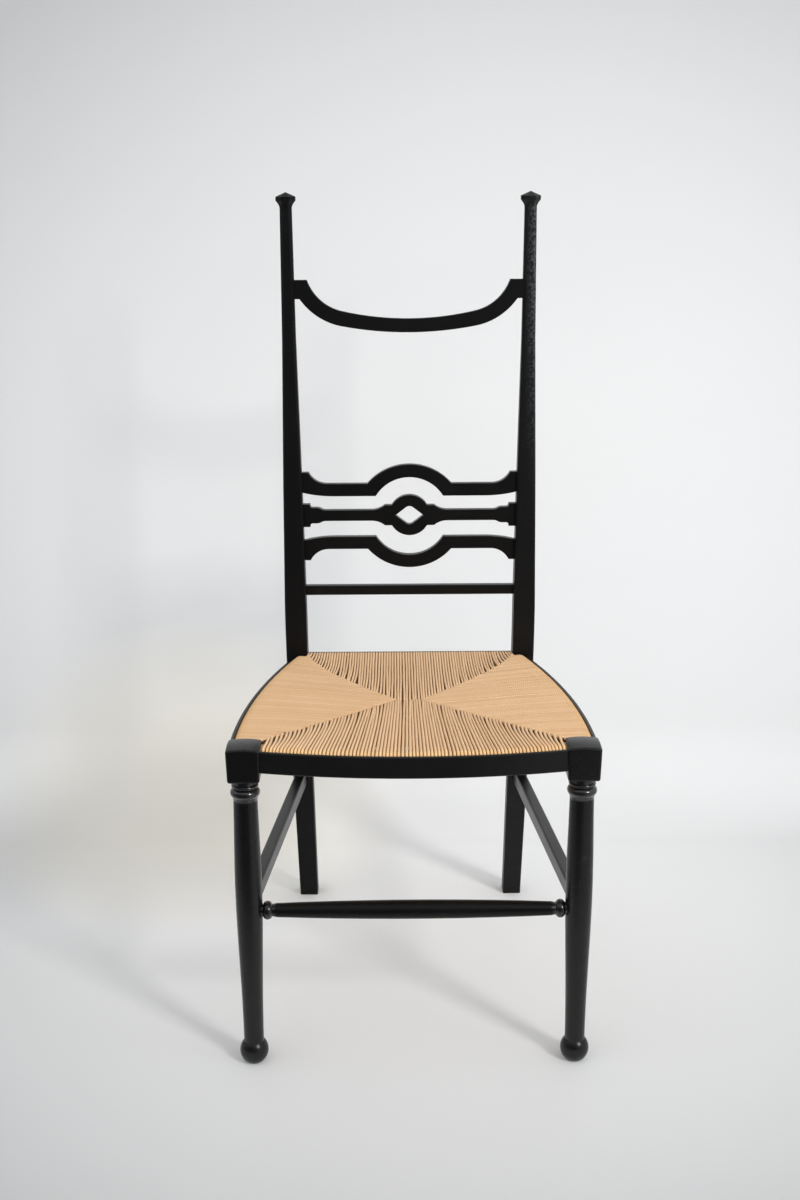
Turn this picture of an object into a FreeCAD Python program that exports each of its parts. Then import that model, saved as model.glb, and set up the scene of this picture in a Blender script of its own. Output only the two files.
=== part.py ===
import FreeCAD, Part
import math
import os

from FreeCAD import Vector

# A high-backed side chair in black paint with a seat woven from paper cord.
# Millimetres. X runs to the right of the viewer who faces the chair, Y runs from front to back,
# Z runs up. Heights are above the floor, depths are behind the axis of the front legs.

# Front legs: turned, with a square block at the seat and a ball foot
front_leg_half_spacing = 211.0
block_top = 443.5
block_height = 43.0
block_bottom = block_top - block_height
block_width = 42.6
block_foot_width = 40.2
block_dome = 3.8
block_edge_radius = 3.2
neck_radius = 14.6
small_bead_radius = 17.2
main_ring_radius = 18.9
shaft_top_radius = 15.3
shaft_waist_radius = 17.2
ankle_radius = 13.0
ball_radius = 18.7
ball_flat_radius = 10.5
small_bead_below_block = 8.7
small_bead_height = block_bottom - small_bead_below_block
small_bead_half = 2.2
main_ring_below_block = 17.5
main_ring_height = block_bottom - main_ring_below_block
main_ring_half = 5.6
ring_collar_radius = 16.6
ring_collar_length = 5.5
shaft_top_below_block = 31.5
shaft_top_height = block_bottom - shaft_top_below_block
ball_height = 17.0
ankle_height = 40.0
shaft_waist_share = 0.675
shaft_swell_share = 0.47
shaft_waist_height = ankle_height + (shaft_top_height - ankle_height) * shaft_waist_share

# The top of the seat, from which the rails of the back are placed
seat_above_block = 2.0
seat_top = block_top + seat_above_block

# Back posts: one piece each from the floor to the finial, raked below the seat, leaning above it
total_height = 1101.5
post_foot_half_spacing = 164.3
post_bend_half_spacing = 168.3
post_top_half_spacing = 171.5
post_foot_depth = 482.0
post_bend_depth = 390.0
post_top_depth = 428.0
post_bend_below_seat = 9.5
post_bend_height = seat_top - post_bend_below_seat
post_bend_reach = 75.0
post_foot_width = 28.0
post_seat_width = 31.4
post_lattice_width = 26.8
post_crest_width = 19.3
post_neck_width = 16.7
post_lattice_share = 0.316
post_crest_share = 0.686
post_foot_chamfer = 1.4
post_seat_chamfer = 1.6
post_neck_chamfer = 4.3

# Finial on each post: an eight-sided cap with a low pointed top
finial_height = 21.5
post_neck_height = total_height - finial_height
post_bend_top = post_bend_height + post_bend_reach
post_lattice_height = post_bend_top + (post_neck_height - post_bend_top) * post_lattice_share
post_crest_height = post_bend_top + (post_neck_height - post_bend_top) * post_crest_share
finial_width = 27.4
finial_point_height = 6.2
finial_band_height = 5.2
finial_flare_shares = [(0, 0), (0.25, 0.1), (0.55, 0.38), (0.8, 0.72), (1, 1)]

# Stretchers between the legs
front_stretcher_height = 218.0
front_stretcher_end_radius = 9.0
front_stretcher_middle_radius = 12.2
front_stretcher_neck_radius = 8.0
bead_radius = 12.0
bead_width = 12.0
bead_gap_to_leg = 1.2
front_stretcher_shoulder = 6.0
front_stretcher_tenon_radius = 6.0
front_stretcher_tenon_length = 14.0
side_stretcher_top = 237.3
side_stretcher_height = 21.6
side_stretcher_width = 16.5
side_stretcher_edge_radius = 2.5
side_stretcher_tenon_length = 9.0
side_stretcher_tenon_width = 9.0
side_stretcher_tenon_height = 15.0

# Crest rail: a deep hollow curve between two square ends
crest_below_cap = 97.4
crest_middle_width = 19.4
crest_end_rise = 46.9
crest_end_width = 26.7
crest_end_top = post_neck_height - crest_below_cap
crest_end_bottom = crest_end_top - crest_end_width
crest_middle_bottom = crest_end_bottom - crest_end_rise
crest_middle_top = crest_middle_bottom + crest_middle_width
crest_end_top_length = 18.0
crest_end_bottom_length = 7.6
crest_thickness = 15.0
crest_edge_chamfer = 1.0
crest_turn_half = 95.0
crest_top_turn_rise = 10.7
crest_bottom_turn_rise = 8.8

# Lattice of three rails: the outer two arch away from the ring of the middle one
lattice_thickness = 15.0
lattice_edge_chamfer = 0.9
lattice_share = 0.433
upper_rail_spacing = 37.5
lower_rail_spacing = 40.5
middle_rail_height = seat_top + (crest_middle_bottom - seat_top) * lattice_share
upper_rail_height = middle_rail_height + upper_rail_spacing
lower_rail_height = middle_rail_height - lower_rail_spacing
arched_rail_width = 18.2
arch_inner_radius = 57.5
arch_inner_rise = 27.3
arch_outer_radius = 81.0
arch_crown_width = 18.6
arched_end_rise = 16.5
arched_end_length = 9.6
arched_scoop_length = 26.5
arched_sweep_rise = 5.5
arched_sweep_length = 45.0
middle_rail_width = 15.8
middle_end_width = 33.4
middle_end_length = 10.5
middle_step_height = 5.3
middle_step_drop = 3.5
middle_step_width = middle_end_width - 2 * middle_step_height
middle_step_length = 6.4
middle_ogee_length = 12.5
collar_width = 29.6
collar_outer_half = 36.0
collar_hollow_length = 19.0
ring_radius = 29.6
ring_opening_half_length = 20.4
ring_opening_half_height = 13.4
ring_opening_tip_radius = 8.4

# Plain rail low in the back
lower_back_rail_share = 0.722
lower_arch_foot = lower_rail_height + arched_rail_width / 2 - arch_inner_rise - arch_crown_width
lower_back_rail_height = seat_top + (lower_arch_foot - seat_top) * lower_back_rail_share
lower_back_rail_width = 14.2
lower_back_rail_thickness = 14.0
lower_back_rail_edge_radius = 1.8

# Tenons of the back's rails, and the gap round every tenon
rail_tenon_length = 9.0
rail_tenon_thickness = 7.0
rail_tenon_shoulder = 2.5
joint_clearance = 0.1

# Seat frame: four rails hidden in the weave. The seat is built level and then tilted back
seat_tilt_degrees = 1.1
cord_wrap = 3.8
seat_rail_width = 22.0
seat_rail_height = 21.5
seat_rail_edge_chamfer = 3.0
seat_tenon_length = 13.0
seat_tenon_thickness = 9.0
seat_tenon_height = 8.2
seat_tenon_from_middle = 0.8
seat_tenon_inside_post = 2.5

# Edging strips nailed over the cords on the outer faces of the seat rails
strip_thickness = 5.0
strip_height = 28.0
strip_below_top = 4.0
strip_edge_chamfer = 1.2
front_strip_set_back = 3.0
front_bow = 21.0
side_strip_front_set_in = 1.6
side_strip_back_set_in = 8.8
side_bow = 14.0
back_strip_set_in = 1.4

# Woven seat and what fills it
weave_roll_radius = 9.0
weave_clearance = 0.3
seam_half_length = 13.6
seam_half_width = 0.5
seam_depth_share = 0.47
top_hollow = 6.0
underside_hollow = 8.0
stuffing_thickness = 7.0
stuffing_margin = 9.0

# Brads through the strips, one group
brad_radius = 0.8
brad_head_radius = 1.5
brad_head_thickness = 0.8
brad_grip = 9.0
brad_clearance = 0.05
brads_per_strip = 5
brad_end_margin = 26.0

# A cut runs past the face that it opens by this much
overrun = 2.0

left = -1
right = 1
sides = {"left": left, "right": right}
upright = Vector(0, 0, 1)
forward = Vector(0, 1, 0)


def mix(a, b, share):
    """The value that lies this share of the way from a to b."""
    return a + (b - a) * share


def between(table, height):
    """The value at a height, straight between the pairs of height and value in the table."""
    for (low, low_value), (high, high_value) in zip(table, table[1:]):
        if height <= high:
            break
    return mix(low_value, high_value, (height - low) / (high - low))


def segment(a, b):
    return Part.LineSegment(a, b).toShape()


def arc(a, middle, b):
    return Part.Arc(a, middle, b).toShape()


def curve_through(points):
    curve = Part.BSplineCurve()
    curve.interpolate(points)
    return curve.toShape()


def arc_from(start, direction, end):
    """The arc that leaves start in a direction and reaches end."""
    chord = end - start
    turn = direction.getAngle(chord)
    away = direction - chord * (direction.dot(chord) / chord.dot(chord))
    crown = chord.Length / 2 * math.tan(turn / 2)
    return arc(start, (start + end) * 0.5 + away.normalize() * crown, end)


def level_arc(start, end):
    """The arc that leaves start along X and reaches end."""
    return arc_from(start, Vector(end.x - start.x, 0, 0), end)


def ogee(start, end):
    """Two arcs that meet half way, level at start and at end."""
    middle = (start + end) * 0.5
    return [level_arc(start, middle), level_arc(end, middle)]


def flat_plate(edges, thickness):
    """A plate cut to an outline in the plane y = 0, half its thickness on each side of it."""
    face = Part.Face(Part.Wire(Part.__sortEdges__(edges)))
    plate = face.extrude(Vector(0, thickness, 0))
    plate.translate(Vector(0, -thickness / 2, 0))
    return plate


def soften(plate, thickness, width):
    """Takes the sharp edges off both broad faces of a plate."""
    rims = []
    for edge in plate.Edges:
        box = edge.BoundBox
        on_a_face = abs(abs(box.YMin) - thickness / 2) < joint_clearance
        if on_a_face and box.YLength < joint_clearance:
            rims.append(edge)
    return plate.makeChamfer(width, rims)


def box_between(x0, x1, y0, y1, z0, z1):
    corner = Vector(min(x0, x1), min(y0, y1), min(z0, z1))
    return Part.makeBox(abs(x1 - x0), abs(y1 - y0), abs(z1 - z0), corner)


# Back posts


def post_axis(height):
    """Half spacing and depth of a post's centre line: two straight runs joined by a smooth bend."""
    half_spacings = [
        (0, post_foot_half_spacing),
        (post_bend_height, post_bend_half_spacing),
        (total_height, post_top_half_spacing),
    ]
    rake = (post_bend_depth - post_foot_depth) / post_bend_height
    lean = (post_top_depth - post_bend_depth) / (total_height - post_bend_height)
    above = height - post_bend_height
    if above <= -post_bend_reach:
        depth = post_bend_depth + rake * above
    elif above >= post_bend_reach:
        depth = post_bend_depth + lean * above
    else:
        past = (above + post_bend_reach) ** 2 / (4 * post_bend_reach)
        depth = post_bend_depth + rake * above + (lean - rake) * past
    return between(half_spacings, height), depth


def post_width(height):
    widths = [
        (0, post_foot_width),
        (post_bend_height - post_bend_reach, post_seat_width),
        (post_bend_top, post_seat_width),
        (post_lattice_height, post_lattice_width),
        (post_crest_height, post_crest_width),
        (post_neck_height, post_neck_width),
    ]
    return between(widths, height)


def post_chamfer(height):
    chamfers = [
        (0, post_foot_chamfer),
        (post_bend_top, post_seat_chamfer),
        (post_neck_height, post_neck_chamfer),
    ]
    return between(chamfers, height)


def post_inner_face(height):
    """Half the clear width between the posts at a height."""
    return post_axis(height)[0] - post_width(height) / 2


def octagon(centre, width, chamfer):
    """Corners of a level square with its own corners cut off."""
    half = width / 2
    inner = half - chamfer
    corners = [(inner, half), (half, inner), (half, -inner), (inner, -half)]
    corners += [(-x, -y) for x, y in corners]
    return [centre + Vector(x, y, 0) for x, y in corners]


def post_section(side, height, grown):
    half_spacing, depth = post_axis(height)
    centre = Vector(side * half_spacing, depth, height)
    return octagon(centre, post_width(height) + 2 * grown, post_chamfer(height))


def flat_face(points):
    return Part.Face(Part.makePolygon(points + points[:1]))


def closed_solid(faces):
    solid = Part.Solid(Part.Shell(faces))
    if solid.Volume < 0:
        solid.reverse()
    return solid


def stacked(sections):
    """A solid with flat sides between level outlines whose sides are parallel."""
    faces = [flat_face(sections[0]), flat_face(sections[-1])]
    for lower, upper in zip(sections, sections[1:]):
        for i in range(len(lower)):
            faces.append(flat_face([lower[i - 1], lower[i], upper[i], upper[i - 1]]))
    return closed_solid(faces)


def bend(side, grown):
    """The part of a post where the rake turns into the lean: every corner runs along a parabola."""
    lower = post_section(side, post_bend_height - post_bend_reach, grown)
    upper = post_section(side, post_bend_top, grown)
    paths = []
    for a, b in zip(lower, upper):
        turn = (a + b) * 0.5
        turn.y += post_bend_depth - (post_axis(a.z)[1] + post_axis(b.z)[1]) / 2
        curve = Part.BezierCurve()
        curve.setPoles([a, turn, b])
        paths.append(curve.toShape())
    faces = [flat_face(lower), flat_face(upper)]
    for i in range(len(paths)):
        faces.append(Part.makeRuledSurface(paths[i - 1], paths[i]))
    return closed_solid(faces)


def post_shaft(side, grown):
    """The post from the floor to its neck, with its outline grown by a clearance."""
    low = post_bend_height - post_bend_reach
    high = post_bend_top
    foot = stacked([post_section(side, height, grown) for height in (0, low)])
    heights = (high, post_lattice_height, post_crest_height, post_neck_height)
    back = stacked([post_section(side, height, grown) for height in heights])
    return foot.fuse([bend(side, grown), back])


def finial(side):
    """The cap: it flares from the neck to a narrow upright band, and ends in a low pyramid."""
    band_top = total_height - finial_point_height
    band_bottom = band_top - finial_band_height
    half_spacing, depth = post_axis(post_neck_height)

    def ring(height, width):
        centre = Vector(side * half_spacing, depth, height)
        return octagon(centre, width, width * (1 - 1 / math.sqrt(2)))

    rings = []
    for height_share, width_share in finial_flare_shares:
        width = mix(post_neck_width, finial_width, width_share)
        rings.append(ring(mix(post_neck_height, band_bottom, height_share), width))
    rings.append(ring(band_top, finial_width))
    apex = Vector(side * half_spacing, depth, total_height)
    rim = rings[-1]
    slopes = [flat_face([rim[i - 1], rim[i], apex]) for i in range(len(rim))]
    return stacked(rings).fuse(closed_solid([flat_face(rim), *slopes]))


def bare_post(side):
    return post_shaft(side, 0).fuse(finial(side)).removeSplitter()


# Rails of the back: each is drawn upright and then leaned back with the posts


def lean_degrees():
    run = post_top_depth - post_bend_depth
    return math.degrees(math.atan2(run, total_height - post_bend_height))


def leaned(shape):
    placed = shape.copy()
    placed.rotate(Vector(0, 0, post_bend_height), Vector(1, 0, 0), -lean_degrees())
    placed.translate(Vector(0, post_bend_depth, 0))
    return placed


def rail_tenons(low, high, grown):
    """A tenon at each end of a rail, from inside the rail into the posts."""
    tenons = []
    middle = (low + high) / 2
    for side in (left, right):
        face = post_inner_face(middle)
        inner = side * (face - rail_tenon_length)
        outer = side * (face + rail_tenon_length + grown)
        half = rail_tenon_thickness / 2 + grown
        bottom = low + rail_tenon_shoulder - grown
        top = high - rail_tenon_shoulder + grown
        tenons.append(leaned(box_between(inner, outer, -half, half, bottom, top)))
    return tenons


def crest_curve(middle, turn_rise, end, half_span):
    """A hollow curve of three arcs: a flat one in the middle and a rounder one to each end."""
    turn_height = middle + turn_rise
    slope = 2 * math.atan2(turn_rise, crest_turn_half)
    left_turn = Vector(-crest_turn_half, 0, turn_height)
    right_turn = Vector(crest_turn_half, 0, turn_height)
    arcs = [arc(left_turn, Vector(0, 0, middle), right_turn)]
    for side, turn in ((left, left_turn), (right, right_turn)):
        direction = Vector(side * math.cos(slope), 0, math.sin(slope))
        arcs.append(arc_from(turn, direction, Vector(side * half_span, 0, end)))
    return arcs


def crest_rail():
    reach = post_axis(crest_end_top)[0]
    face = post_inner_face(crest_end_top)
    top_span = face - crest_end_top_length
    bottom_span = face - crest_end_bottom_length
    edges = crest_curve(crest_middle_top, crest_top_turn_rise, crest_end_top, top_span)
    edges += crest_curve(
        crest_middle_bottom, crest_bottom_turn_rise, crest_end_bottom, bottom_span
    )
    for side in (left, right):
        top, bottom = crest_end_top, crest_end_bottom
        edges += [
            segment(Vector(side * top_span, 0, top), Vector(side * reach, 0, top)),
            segment(Vector(side * reach, 0, top), Vector(side * reach, 0, bottom)),
            segment(Vector(side * reach, 0, bottom), Vector(side * bottom_span, 0, bottom)),
        ]
    return soften(flat_plate(edges, crest_thickness), crest_thickness, crest_edge_chamfer)


def arched_rail(height, way):
    """A rail that arches away from the ring: upwards where way is 1, downwards where it is -1."""
    near = height - way * arched_rail_width / 2
    far = height + way * arched_rail_width / 2
    end = far + way * arched_end_rise
    swept = near + way * arched_sweep_rise
    reach = post_axis(height)[0]
    face = post_inner_face(height)
    block = face - arched_end_length
    scoop = block - arched_scoop_length
    sweep = face - arched_sweep_length
    inner_crown = near + way * arch_inner_rise
    inner_centre = inner_crown - way * arch_inner_radius
    inner_spring = math.sqrt(arch_inner_radius**2 - (near - inner_centre) ** 2)
    outer_crown = inner_crown + way * arch_crown_width
    outer_centre = outer_crown - way * arch_outer_radius
    outer_spring = math.sqrt(arch_outer_radius**2 - (far - outer_centre) ** 2)
    edges = [
        arc(Vector(-outer_spring, 0, far), Vector(0, 0, outer_crown), Vector(outer_spring, 0, far)),
        arc(Vector(-inner_spring, 0, near), Vector(0, 0, inner_crown), Vector(inner_spring, 0, near)),
    ]
    for side in (left, right):
        middle_of_sweep = Vector(side * mix(sweep, face, 1 / 2), 0, mix(near, swept, 1 / 4))
        edges += [
            segment(Vector(side * outer_spring, 0, far), Vector(side * scoop, 0, far)),
            level_arc(Vector(side * scoop, 0, far), Vector(side * block, 0, end)),
            segment(Vector(side * block, 0, end), Vector(side * reach, 0, end)),
            segment(Vector(side * reach, 0, end), Vector(side * reach, 0, swept)),
            segment(Vector(side * reach, 0, swept), Vector(side * face, 0, swept)),
            arc(Vector(side * face, 0, swept), middle_of_sweep, Vector(side * sweep, 0, near)),
            segment(Vector(side * sweep, 0, near), Vector(side * inner_spring, 0, near)),
        ]
    return soften(flat_plate(edges, lattice_thickness), lattice_thickness, lattice_edge_chamfer)


def ring_opening():
    """The opening in the ring: a lozenge with its upper and lower tips rounded."""
    centre = ring_opening_half_height - ring_opening_tip_radius
    reach = math.hypot(ring_opening_half_length, centre)
    turn = math.acos(ring_opening_tip_radius / reach) - math.atan2(centre, ring_opening_half_length)
    touch_x = ring_opening_tip_radius * math.cos(turn)
    touch_z = centre + ring_opening_tip_radius * math.sin(turn)
    edges = []
    for way in (-1, 1):
        z = middle_rail_height + way * touch_z
        crown = Vector(0, 0, middle_rail_height + way * ring_opening_half_height)
        edges.append(arc(Vector(-touch_x, 0, z), crown, Vector(touch_x, 0, z)))
        for side in (left, right):
            tip = Vector(side * ring_opening_half_length, 0, middle_rail_height)
            edges.append(segment(tip, Vector(side * touch_x, 0, z)))
    return flat_plate(edges, lattice_thickness)


def middle_rail():
    """The straight rail with stepped ends, two collars and a ring between them."""
    reach = post_axis(middle_rail_height)[0]
    face = post_inner_face(middle_rail_height)
    end_x = face - middle_end_length
    step_x = end_x - middle_step_drop
    ogee_x = step_x - middle_step_length
    straight_x = ogee_x - middle_ogee_length
    hollow_x = collar_outer_half + collar_hollow_length
    ring_x = math.sqrt(ring_radius**2 - (collar_width / 2) ** 2)
    edges = []
    for way in (-1, 1):
        end = middle_rail_height + way * middle_end_width / 2
        step = middle_rail_height + way * middle_step_width / 2
        plain = middle_rail_height + way * middle_rail_width / 2
        collar = middle_rail_height + way * collar_width / 2
        crown = Vector(0, 0, middle_rail_height + way * ring_radius)
        edges.append(arc(Vector(-ring_x, 0, collar), crown, Vector(ring_x, 0, collar)))
        for side in (left, right):
            corner = Vector(side * end_x, 0, step + way * middle_step_drop)
            edges += [
                segment(Vector(side * ring_x, 0, collar), Vector(side * collar_outer_half, 0, collar)),
                level_arc(Vector(side * hollow_x, 0, plain), Vector(side * collar_outer_half, 0, collar)),
                segment(Vector(side * hollow_x, 0, plain), Vector(side * straight_x, 0, plain)),
                *ogee(Vector(side * straight_x, 0, plain), Vector(side * ogee_x, 0, step)),
                segment(Vector(side * ogee_x, 0, step), Vector(side * step_x, 0, step)),
                level_arc(Vector(side * step_x, 0, step), corner),
                segment(corner, Vector(side * end_x, 0, end)),
                segment(Vector(side * end_x, 0, end), Vector(side * reach, 0, end)),
            ]
    for side in (left, right):
        low = middle_rail_height - middle_end_width / 2
        edges.append(
            segment(Vector(side * reach, 0, low), Vector(side * reach, 0, low + middle_end_width))
        )
    plate = flat_plate(edges, lattice_thickness).cut(ring_opening())
    return soften(plate, lattice_thickness, lattice_edge_chamfer)


def rounded_outline(x0, x1, z0, z1, radius):
    """An upright rectangle with round corners, as a face in the plane y = 0."""
    diagonal = radius * (1 - 1 / math.sqrt(2))
    edges = []
    for x, x_way in ((x0, 1), (x1, -1)):
        for z, z_way in ((z0, 1), (z1, -1)):
            edges.append(
                arc(
                    Vector(x, 0, z + z_way * radius),
                    Vector(x + x_way * diagonal, 0, z + z_way * diagonal),
                    Vector(x + x_way * radius, 0, z),
                )
            )
    for x in (x0, x1):
        edges.append(segment(Vector(x, 0, z0 + radius), Vector(x, 0, z1 - radius)))
    for z in (z0, z1):
        edges.append(segment(Vector(x0 + radius, 0, z), Vector(x1 - radius, 0, z)))
    return Part.Face(Part.Wire(Part.__sortEdges__(edges)))


def bar_along_x(half_length, y0, y1, z0, z1, radius):
    """A straight bar with round edges, its section in Y and Z."""
    section = rounded_outline(y0, y1, z0, z1, radius)
    section.rotate(Vector(0, 0, 0), upright, math.degrees(math.pi / 2))
    section.translate(Vector(-half_length, 0, 0))
    return section.extrude(Vector(2 * half_length, 0, 0))


def lower_back_rail():
    half = lower_back_rail_thickness / 2
    low = lower_back_rail_height - lower_back_rail_width / 2
    high = low + lower_back_rail_width
    reach = post_axis(lower_back_rail_height)[0]
    return bar_along_x(reach, -half, half, low, high, lower_back_rail_edge_radius)


def back_rails(posts):
    """The five rails of the back: each body is scribed to the posts, its tenons reach into them."""
    low_of_upper = upper_rail_height - arched_rail_width / 2
    high_of_lower = lower_rail_height + arched_rail_width / 2
    half_middle = middle_end_width / 2
    half_lowest = lower_back_rail_width / 2
    rails = {
        "crest_rail": (crest_rail(), crest_end_bottom, crest_end_top),
        "upper_lattice_rail": (
            arched_rail(upper_rail_height, 1),
            low_of_upper + arched_sweep_rise,
            low_of_upper + arched_rail_width + arched_end_rise,
        ),
        "middle_lattice_rail": (
            middle_rail(),
            middle_rail_height - half_middle,
            middle_rail_height + half_middle,
        ),
        "lower_lattice_rail": (
            arched_rail(lower_rail_height, -1),
            high_of_lower - arched_rail_width - arched_end_rise,
            high_of_lower - arched_sweep_rise,
        ),
        "lower_back_rail": (
            lower_back_rail(),
            lower_back_rail_height - half_lowest,
            lower_back_rail_height + half_lowest,
        ),
    }
    made = {}
    mortises = []
    for name, (plate, low, high) in rails.items():
        body = leaned(plate)
        for post in posts.values():
            body = body.cut(post)
        for tenon in rail_tenons(low, high, 0):
            body = body.fuse(tenon)
        made[name] = body.removeSplitter()
        mortises += rail_tenons(low, high, joint_clearance)
    return made, mortises


# Front legs


def block(side, grown):
    """The square block at the head of a front leg, slightly narrower below and domed on top."""
    centre = Vector(side * front_leg_half_spacing, 0, 0)
    sections = []
    for height, width in ((block_bottom, block_foot_width), (block_top, block_width)):
        half = width / 2 + grown
        corners = [(half, half), (half, -half), (-half, -half), (-half, half)]
        points = [centre + Vector(x, y, height) for x, y in corners]
        sections.append(Part.makePolygon(points + points[:1]))
    body = Part.makeLoft(sections, True, True)
    if grown:
        return body.fuse(
            box_between(
                centre.x - half, centre.x + half, -half, half, block_top, block_top + 2 * block_dome
            )
        )
    corner_reach = block_width / math.sqrt(2)
    dome_radius = (corner_reach**2 + block_dome**2) / (2 * block_dome)
    dome_centre = centre + Vector(0, 0, block_top + block_dome - dome_radius)
    tall = box_between(
        centre.x - block_width / 2,
        centre.x + block_width / 2,
        -block_width / 2,
        block_width / 2,
        block_top,
        block_top + 2 * block_dome,
    )
    dome = tall.common(Part.makeSphere(dome_radius, dome_centre))
    body = body.fuse(dome).removeSplitter()
    return body.makeFillet(block_edge_radius, body.Edges)


def turned(side, profile_edges):
    """A solid of revolution about the axis of a front leg from a profile in X and Z."""
    face = Part.Face(Part.Wire(Part.__sortEdges__(profile_edges)))
    solid = face.revolve(Vector(0, 0, 0), upright, math.degrees(2 * math.pi))
    solid.translate(Vector(side * front_leg_half_spacing, 0, 0))
    return solid


def front_leg(side):
    """Ball foot, slender ankle, a shaft fullest at two thirds of its height, rings and a block."""

    def at(radius, height):
        return Vector(radius, 0, height)

    head = block_bottom + block_edge_radius
    waist = at(shaft_waist_radius, shaft_waist_height)
    shaft_top = at(shaft_top_radius, shaft_top_height)
    ring_foot = at(ring_collar_radius, main_ring_height - main_ring_half)
    collar_foot = at(shaft_top_radius, ring_foot.z - ring_collar_length)
    ring_head = at(neck_radius, main_ring_height + main_ring_half)
    bead_foot = at(neck_radius, small_bead_height - small_bead_half)
    bead_head = at(neck_radius, small_bead_height + small_bead_half)
    ball_reach = math.sqrt(ball_radius**2 - ankle_radius**2)
    ball_meets_ankle = at(ankle_radius, ball_height + ball_reach)
    swell_radius = mix(ankle_radius, shaft_waist_radius, 1 / 2)
    swell_height = mix(ankle_height, shaft_waist_height, shaft_swell_share)
    shaft_curve = curve_through(
        [
            ball_meets_ankle,
            at(ankle_radius, max(ankle_height, ball_meets_ankle.z + small_bead_half)),
            at(swell_radius, swell_height),
            waist,
            at(mix(shaft_waist_radius, shaft_top_radius, 2 / 3), mix(waist.z, shaft_top.z, 2 / 3)),
            shaft_top,
        ]
    )
    edges = [
        segment(at(0, 0), at(ball_flat_radius, 0)),
        arc(at(ball_flat_radius, 0), at(ball_radius, ball_height), ball_meets_ankle),
        shaft_curve,
        segment(shaft_top, collar_foot),
        segment(collar_foot, ring_foot),
        arc(ring_foot, at(main_ring_radius, main_ring_height), ring_head),
        segment(ring_head, bead_foot),
        arc(bead_foot, at(small_bead_radius, small_bead_height), bead_head),
        segment(bead_head, at(neck_radius, head)),
        segment(at(neck_radius, head), at(0, head)),
        segment(at(0, head), at(0, 0)),
    ]
    return turned(side, edges).fuse(block(side, 0)).removeSplitter()


# Stretchers


def leg_radius(height):
    """Radius of a front leg's shaft between its ankle and its top."""
    radii = [
        (ankle_height, ankle_radius),
        (shaft_waist_height, shaft_waist_radius),
        (shaft_top_height, shaft_top_radius),
    ]
    return between(radii, height)


def front_stretcher():
    """A turned bar, fullest in the middle, with a bead next to each leg and a round tenon."""
    leg_face = front_leg_half_spacing - leg_radius(front_stretcher_height)
    bead_x = leg_face - bead_gap_to_leg - bead_width / 2
    shaft_end = bead_x - bead_width / 2
    shoulder_x = shaft_end - front_stretcher_shoulder
    tenon_x = leg_face + front_stretcher_tenon_length
    neck = front_stretcher_neck_radius
    tenon = front_stretcher_tenon_radius
    inner = front_leg_half_spacing - leg_radius(front_stretcher_height)
    curve = [
        Vector(-shoulder_x, 0, front_stretcher_end_radius),
        Vector(0, 0, front_stretcher_middle_radius),
        Vector(shoulder_x, 0, front_stretcher_end_radius),
    ]
    edges = [arc(*curve)]
    for side in (left, right):
        corners = [
            Vector(side * shoulder_x, 0, front_stretcher_end_radius),
            Vector(side * shaft_end, 0, neck),
        ]
        edges.append(segment(*corners))
        edges.append(
            arc(
                Vector(side * shaft_end, 0, neck),
                Vector(side * bead_x, 0, bead_radius),
                Vector(side * (bead_x + bead_width / 2), 0, neck),
            )
        )
        tail = [
            Vector(side * (bead_x + bead_width / 2), 0, neck),
            Vector(side * (inner + overrun), 0, neck),
            Vector(side * (inner + overrun), 0, tenon),
            Vector(side * tenon_x, 0, tenon),
            Vector(side * tenon_x, 0, 0),
        ]
        edges += [segment(a, b) for a, b in zip(tail, tail[1:])]
    edges.append(segment(Vector(-tenon_x, 0, 0), Vector(tenon_x, 0, 0)))
    face = Part.Face(Part.Wire(Part.__sortEdges__(edges)))
    bar = face.revolve(Vector(0, 0, 0), Vector(1, 0, 0), math.degrees(2 * math.pi))
    bar.translate(Vector(0, 0, front_stretcher_height))
    return bar


def front_stretcher_holes():
    """The round sockets in the front legs: the tenon's, and the shallow one that takes the neck."""
    leg_face = front_leg_half_spacing - leg_radius(front_stretcher_height)
    holes = []
    for radius, depth in (
        (front_stretcher_tenon_radius, front_stretcher_tenon_length),
        (front_stretcher_neck_radius, overrun),
    ):
        reach = leg_face + depth + joint_clearance
        start = Vector(-reach, 0, front_stretcher_height)
        holes.append(Part.makeCylinder(radius + joint_clearance, 2 * reach, start, Vector(1, 0, 0)))
    return holes[0].fuse(holes[1])


def side_stretcher_ends(side):
    """Centre of the bar on the axes of the front leg and of the back post."""
    height = side_stretcher_top - side_stretcher_height / 2
    half_spacing, depth = post_axis(height)
    front = Vector(side * front_leg_half_spacing, 0, height)
    back = Vector(side * half_spacing, depth, height)
    return front, back


def bar_between(front, back, width, height, radius):
    """A level bar with round edges between two points."""
    run = back - front
    section = rounded_outline(-width / 2, width / 2, -height / 2, height / 2, radius)
    bar = section.extrude(Vector(0, run.Length, 0))
    bar.rotate(Vector(0, 0, 0), upright, math.degrees(math.atan2(-run.x, run.y)))
    bar.translate(front)
    return bar


def side_stretcher_tenons(side, grown):
    """Tenons on the bar's own line, set into the front leg and the back post."""
    front, back = side_stretcher_ends(side)
    along = (back - front).normalize()
    leg_face = front + along * leg_radius(front.z)
    post_face = back - along * (post_width(back.z) / 2)
    depth = side_stretcher_tenon_length + grown
    width = side_stretcher_tenon_width + 2 * grown
    height = side_stretcher_tenon_height + 2 * grown
    radius = side_stretcher_edge_radius
    inside = side_stretcher_tenon_length
    front_tenon = bar_between(leg_face - along * depth, leg_face + along * inside, width, height, radius)
    back_tenon = bar_between(post_face - along * inside, post_face + along * depth, width, height, radius)
    return front_tenon, back_tenon


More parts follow.
